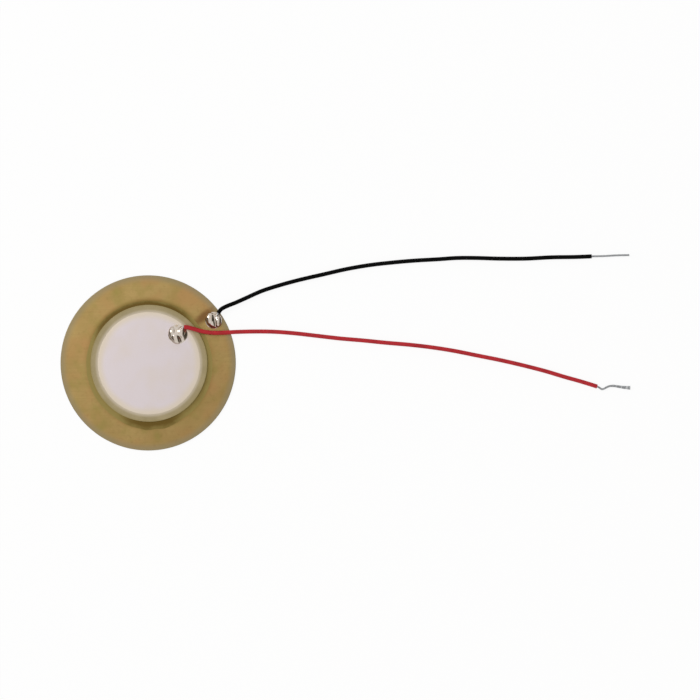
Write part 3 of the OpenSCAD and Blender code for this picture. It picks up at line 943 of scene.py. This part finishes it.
class PIEZO_OT_electrodes(bpy.types.Operator):
    """Print the upper silver with its slightly wavy rim, and give the lower silver its finish"""

    bl_idname = "piezo.electrodes"
    bl_label = "Silver"

    def execute(self, context):
        silver = fired_silver(context.scene.piezo_colours)
        r = context.scene.piezo_sizes.silver_radius
        # The paste thins out towards its rim
        thick = SILVER_TOP - SILVER_LOW
        outline = [(0, SILVER_LOW), (r, SILVER_LOW), (r, SILVER_LOW + 0.3 * thick),
                   (r - 0.02 * MM, SILVER_LOW + 0.8 * thick), (r - 0.06 * MM, SILVER_TOP), (0, SILVER_TOP)]
        bm = revolve(outline, SPIN_STEPS)
        for vert in bm.verts:
            turn = math.atan2(vert.co.y, vert.co.x)
            waves = sum(0.5 * round_wave(turn, size) for size in SILVER_WAVE_LENGTHS)
            shrink = 1 - SILVER_WAVE * (0.5 + 0.5 * waves) / r
            vert.co.x *= shrink
            vert.co.y *= shrink
        bmesh.ops.translate(bm, vec=CERAMIC_AT, verts=bm.verts)
        make_piece(bm, "upper_silver", silver, ["upper_electrode"])
        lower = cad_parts["lower_electrode"]
        lower.data.materials.clear()
        lower.data.materials.append(silver)
        return {"FINISHED"}


class PIEZO_OT_solder_joints(bpy.types.Operator):
    """Melt the two solder joints"""

    bl_idname = "piezo.solder_joints"
    bl_label = "Solder joints"

    def execute(self, context):
        solder = melted_solder(context.scene.piezo_colours)
        voxel = context.scene.piezo_sizes.solder_voxel
        joints = (
            ("brass_solder", BRASS_FOOT, BRASS_JOINT_R, BRASS_CROWN, BRASS_LUMPS, BRASS_DENTS,
             "brass_solder_joint"),
            ("silver_solder", SILVER_FOOT, SILVER_JOINT_R, SILVER_CROWN, SILVER_LUMPS, SILVER_DENTS,
             "electrode_solder_joint"),
        )
        for name, foot, r, h, lumps, dents, node in joints:
            bm = solder_blob(foot, r, h, lumps, dents, voxel)
            make_piece(bm, name, solder, [node])
        return {"FINISHED"}


class VIEW3D_PT_piezo_disc(bpy.types.Panel):
    """Sizes, colours and pieces of the piezo disc"""

    bl_label = "Piezo disc"
    bl_idname = "VIEW3D_PT_piezo_disc"
    bl_space_type = "VIEW_3D"
    bl_region_type = "UI"
    bl_category = "Piezo disc"

    def draw(self, context):
        for group_name in GROUPS:
            group = getattr(context.scene, group_name)
            column = self.layout.column()
            for name in group.bl_rna.properties.keys():
                if name not in {"rna_type", "name"}:
                    column.prop(group, name)
        for step in STEPS:
            self.layout.operator(step.bl_idname)


STEPS = (
    PIEZO_OT_stage,
    PIEZO_OT_leads,
    PIEZO_OT_brass_plate,
    PIEZO_OT_bond_layer,
    PIEZO_OT_ceramic,
    PIEZO_OT_electrodes,
    PIEZO_OT_solder_joints,
)
GROUPS = {
    "piezo_sizes": PiezoDiscSizes,
    "piezo_leads": PiezoLeadSizes,
    "piezo_colours": PiezoColours,
    "piezo_stage": PiezoStage,
}
CLASSES = (*GROUPS.values(), *STEPS, VIEW3D_PT_piezo_disc)


def register():
    """Register the add-on's classes, and give the scene its property groups."""
    for kind in CLASSES:
        bpy.utils.register_class(kind)
    for name, group in GROUPS.items():
        setattr(bpy.types.Scene, name, PointerProperty(type=group))


def unregister():
    """Take the property groups and the classes away again."""
    for name in GROUPS:
        delattr(bpy.types.Scene, name)
    for kind in reversed(CLASSES):
        bpy.utils.unregister_class(kind)


def main():
    """Register the add-on and make every piece in order."""
    register()
    bpy.ops.piezo.stage()
    bpy.ops.piezo.leads()
    bpy.ops.piezo.brass_plate()
    bpy.ops.piezo.bond_layer()
    bpy.ops.piezo.ceramic()
    bpy.ops.piezo.electrodes()
    bpy.ops.piezo.solder_joints()


if __name__ == "__main__":
    main()
